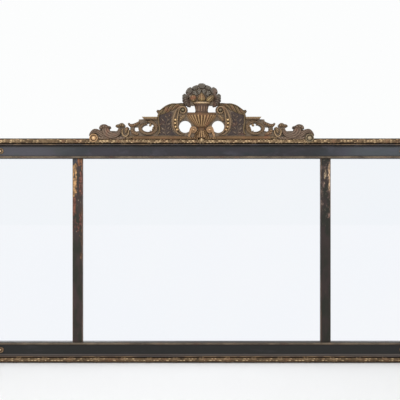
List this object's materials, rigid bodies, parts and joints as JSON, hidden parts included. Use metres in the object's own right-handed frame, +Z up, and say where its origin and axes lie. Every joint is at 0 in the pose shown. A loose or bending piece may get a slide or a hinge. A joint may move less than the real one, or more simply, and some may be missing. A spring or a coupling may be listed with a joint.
{
  "type": "overmantel mirror",
  "caption": "Wide ebonised and gilt overmantel mirror in a moulded frame, glass split by mullions, with a pierced carved crest of urn, shell and scrolls and swinging hanger rings.",
  "frame": {"origin": "middle of the bottom rail's lower back edge, where mantel shelf and wall meet", "axes": "+X along the frame to the viewer's right, +Y into the wall, +Z up; the mirror faces -Y"},
  "size_m": [1.4, 0.0713, 0.83],
  "materials": {
    "ebonised_wood": "black French polish over pine, greyish sheen, rubbed edges",
    "gilt_moulding": "oil gilding over pressed composition, brown patina and red bole in the hollows",
    "gilt_bead": "burnished gilding, toned and worn",
    "mullion_black": "black paint, worn through to gilding and red bole",
    "carved_gilt": "carved and gilt, brown patina",
    "dark_gilt": "dusty dark bronze patina over carved wood",
    "bright_gilt": "brighter gilding on high points, reddish bole",
    "mirror_glass": "silvered plate glass",
    "pine": "unfinished aged softwood",
    "steel": "dull mild steel",
    "brass": "tarnished brass"
  },
  "bodies": {
    "frame": {"top_rail": "ebonised_wood", "bottom_rail": "ebonised_wood", "left_stile": "ebonised_wood", "right_stile": "ebonised_wood", "top_moulding": "gilt_moulding", "bottom_moulding": "gilt_moulding", "left_moulding": "gilt_moulding", "right_moulding": "gilt_moulding", "top_sight_bead": "gilt_bead", "bottom_sight_bead": "gilt_bead", "left_sight_bead": "gilt_bead", "right_sight_bead": "gilt_bead", "left_mullion": "mullion_black", "right_mullion": "mullion_black", "top_left_corner": "bright_gilt", "top_right_corner": "bright_gilt", "bottom_left_corner": "bright_gilt", "bottom_right_corner": "bright_gilt", "left_mirror": "mirror_glass", "centre_mirror": "mirror_glass", "right_mirror": "mirror_glass", "left_backboard": "pine", "centre_backboard": "pine", "right_backboard": "pine", "glazing_blocks": "pine", "backboard_screws": "steel", "crest_board": "dark_gilt", "crest_strip": "carved_gilt", "crest_brackets": "steel", "bracket_screws": "steel", "urn_rim": "bright_gilt", "urn_neck": "dark_gilt", "urn_bowl": "carved_gilt", "urn_foot": "carved_gilt", "urn_pendant": "bright_gilt", "shell_fan": "dark_gilt", "shell_petals": "bright_gilt", "scroll_pearls": "bright_gilt", "left_foot_scroll": "carved_gilt", "right_foot_scroll": "carved_gilt", "left_c_scroll": "carved_gilt", "right_c_scroll": "carved_gilt", "left_arch_leaf": "dark_gilt", "right_arch_leaf": "dark_gilt", "left_oval_scroll": "carved_gilt", "right_oval_scroll": "carved_gilt", "left_wing_leaf": "dark_gilt", "right_wing_leaf": "dark_gilt", "left_curl_volute": "carved_gilt", "right_curl_volute": "carved_gilt", "left_end_scroll": "dark_gilt", "right_end_scroll": "dark_gilt", "left_hanger": "brass", "right_hanger": "brass", "hanger_screws": "brass"},
    "left_ring_body": {"left_ring": "brass"},
    "right_ring_body": {"right_ring": "brass"}
  },
  "joints": [
    {"name": "left_ring_swing", "type": "hinge", "parent": "frame", "child": "left_ring_body", "pos_m": [-0.678, 0.00315, 0.518], "axis": [1, 0, 0], "range_deg": [0, 180]},
    {"name": "right_ring_swing", "type": "hinge", "parent": "frame", "child": "right_ring_body", "pos_m": [0.678, 0.00315, 0.518], "axis": [1, 0, 0], "range_deg": [0, 180]}
  ]
}
